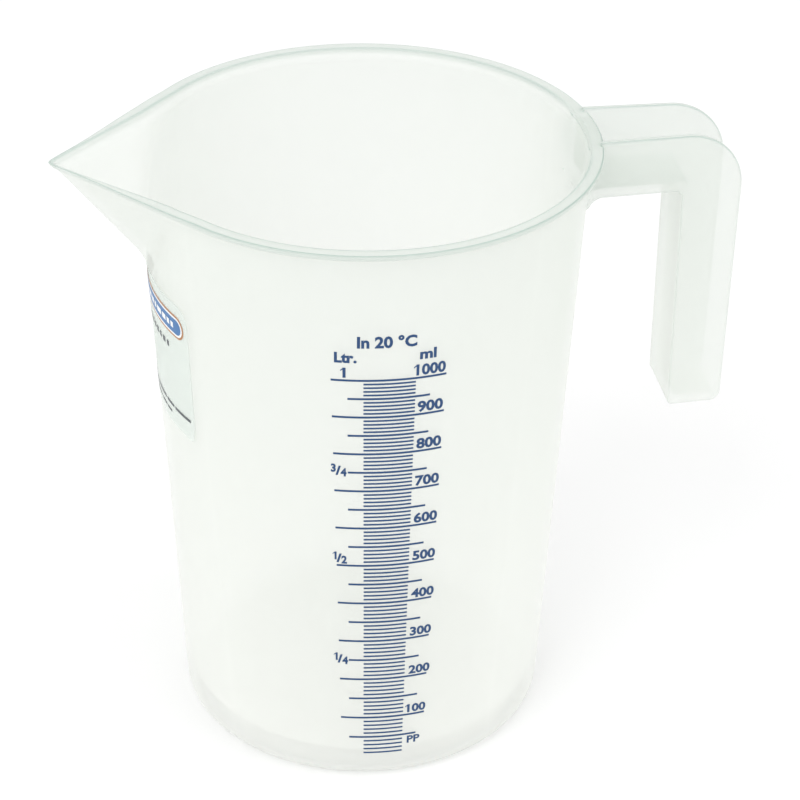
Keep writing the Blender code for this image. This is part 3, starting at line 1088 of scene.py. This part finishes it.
def plastic_material():
    """Milky polypropylene: each wall veils what is behind it, lets light through, and darkens where thicker
    and where painted shade lies.
    """
    nodes = Nodes("milky_polypropylene")
    nodes.set(IOR=PLASTIC_IOR)
    thick_and_painted_shade = nodes.add("ShaderNodeAttribute", attribute_name="plastic_depth_and_painted_shade").outputs["Fac"]
    facing = nodes.add("ShaderNodeLayerWeight")
    facing.inputs["Blend"].default_value = 0.5
    straight = nodes.math("MAXIMUM", nodes.math("SUBTRACT", 1.0, facing.outputs["Facing"]), LEAST_STRAIGHT)
    flow = nodes.spread(nodes.noise(22, 3, (1, 1, 0.35)), *WALL_OPACITY)
    depth = nodes.math("MULTIPLY_ADD", thick_and_painted_shade, DEEP_AND_PAINTED_SHADE_OPACITY)
    nodes.link(flow, depth.node.inputs[2])
    passed = nodes.math("EXPONENT", nodes.math("MULTIPLY", nodes.math("DIVIDE", depth, straight), -1.0))
    # Painted light and shade: the wall's colour is lighter towards the foot and darker towards the rim.
    wall = nodes.blend(nodes.height_share(*PAINTED_GRADIENT_HEIGHTS), PLASTIC_AT_FOOT_PAINTED_LIGHTER, PLASTIC_AT_RIM_PAINTED_DARKER)
    # Darker where the plastic is thick and where painted shade lies: tight edges, the rim's inner edge, the
    # lip's side, the channel's floor.
    colour_with_painted_shade = nodes.blend(thick_and_painted_shade, wall, PLASTIC_DEEP_AND_PAINTED_SHADE)
    nodes.link(colour_with_painted_shade, nodes.shader.inputs["Base Color"])
    nodes.link(nodes.spread(nodes.noise(900, 2), 0.24, 0.40), nodes.shader.inputs["Roughness"])
    nodes.bump(nodes.noise(1600, 2), 0.12, 0.05 * MM)
    glow = nodes.add("ShaderNodeBsdfTranslucent")
    nodes.link(colour_with_painted_shade, glow.inputs["Color"])
    solid = nodes.mix_shaders(TRANSLUCENT_SHARE, nodes.shader.outputs["BSDF"], glow.outputs["BSDF"])
    clear = nodes.add("ShaderNodeBsdfTransparent")
    nodes.show(nodes.mix_shaders(passed, solid, clear.outputs["BSDF"]))
    return nodes.material


def ink_material():
    nodes = Nodes("navy_screen_ink")
    nodes.set(Base_Color=(0.008, 0.05, 0.155, 1))
    nodes.link(nodes.spread(nodes.noise(2500, 2), 0.38, 0.6), nodes.shader.inputs["Roughness"])
    nodes.bump(nodes.noise(3000, 2), 0.2, 0.01 * MM)
    return nodes.material


def label_material(name, colour, alpha=1.0):
    nodes = Nodes(name)
    nodes.set(Base_Color=(*colour, 1), Alpha=alpha)
    nodes.link(nodes.spread(nodes.noise(700, 3), 0.3, 0.5), nodes.shader.inputs["Roughness"])
    nodes.bump(nodes.noise(900, 3), 0.15, 0.02 * MM)
    return nodes.material


def floor_material():
    nodes = Nodes("studio_floor")
    nodes.set(Base_Color=(0.91, 0.91, 0.91, 1), Roughness=0.9)
    nodes.bump(nodes.noise(60, 3), 0.05, 0.1 * MM)
    return nodes.material


# ---------------------------------------------------------------- studio


def add_floor():
    def build(shape):
        bmesh.ops.create_grid(shape, x_segments=4, y_segments=4, size=4.0)

    floor = make_object("studio_floor", build)
    floor.data.materials.append(floor_material())


def add_world():
    world = bpy.data.worlds.new("studio")
    world.use_nodes = True
    background = world.node_tree.nodes["Background"]
    background.inputs["Color"].default_value = (1, 1, 1, 1)
    background.inputs["Strength"].default_value = 0.95
    bpy.context.scene.world = world


def add_softbox(name, place, size, power):
    """A square area light that looks at the middle of the jug."""
    light = bpy.data.lights.new(name, "AREA")
    light.size = size
    light.energy = power
    obj = bpy.data.objects.new(name, light)
    obj.location = place
    aim = Vector((0, 0, RIM_HEIGHT / 2)) - Vector(place)
    obj.rotation_euler = aim.to_track_quat("-Z", "Y").to_euler()
    bpy.context.scene.collection.objects.link(obj)


def add_camera():
    az, el = CAMERA_AZIMUTH, CAMERA_ELEVATION
    away = Vector((cos(el) * cos(az), cos(el) * sin(az), sin(el)))
    right = Vector((-sin(az), cos(az), 0))
    up = right.cross(-away)
    forward = -away * cos(CAMERA_YAW) + right * sin(CAMERA_YAW)
    right = right * cos(CAMERA_YAW) + away * sin(CAMERA_YAW)
    rolled_right = right * cos(CAMERA_ROLL) + up * sin(CAMERA_ROLL)
    rolled_up = up * cos(CAMERA_ROLL) - right * sin(CAMERA_ROLL)
    data = bpy.data.cameras.new("camera")
    data.lens = CAMERA_LENS_MM
    data.sensor_width = CAMERA_SENSOR_MM
    data.sensor_fit = "HORIZONTAL"
    data.clip_start = 0.01
    camera = bpy.data.objects.new("camera", data)
    turned = Matrix((rolled_right, rolled_up, -forward)).transposed()
    place = Vector((AXIS_X, 0, CAMERA_AIM_HEIGHT)) + away * CAMERA_DISTANCE
    camera.matrix_world = Matrix.Translation(place) @ turned.to_4x4()
    bpy.context.scene.collection.objects.link(camera)
    bpy.context.scene.camera = camera


def set_look():
    scene = bpy.context.scene
    scene.view_settings.view_transform = "Standard"
    scene.cycles.transparent_max_bounces = 48


# ---------------------------------------------------------------- the whole


add_camera()
add_world()
add_floor()
add_softbox("key_softbox", place=(-0.9, -0.9, 1.3), size=1.2, power=9)
add_softbox("fill_softbox", place=(1.1, -0.5, 0.9), size=1.2, power=4)
set_look()

ink = ink_material()
make_moulding(plastic_material())
add_graduations(ink)
add_fine_lines(ink)
add_lettering(ink)
add_label(
    label_material("label_film", (0.80, 0.86, 0.82), 0.4),
    label_material("label_blue", (0.03, 0.15, 0.38)),
    label_material("label_amber", (0.40, 0.17, 0.06)),
    label_material("label_white", (0.85, 0.87, 0.87)),
    label_material("label_grey", (0.06, 0.07, 0.08)),
)
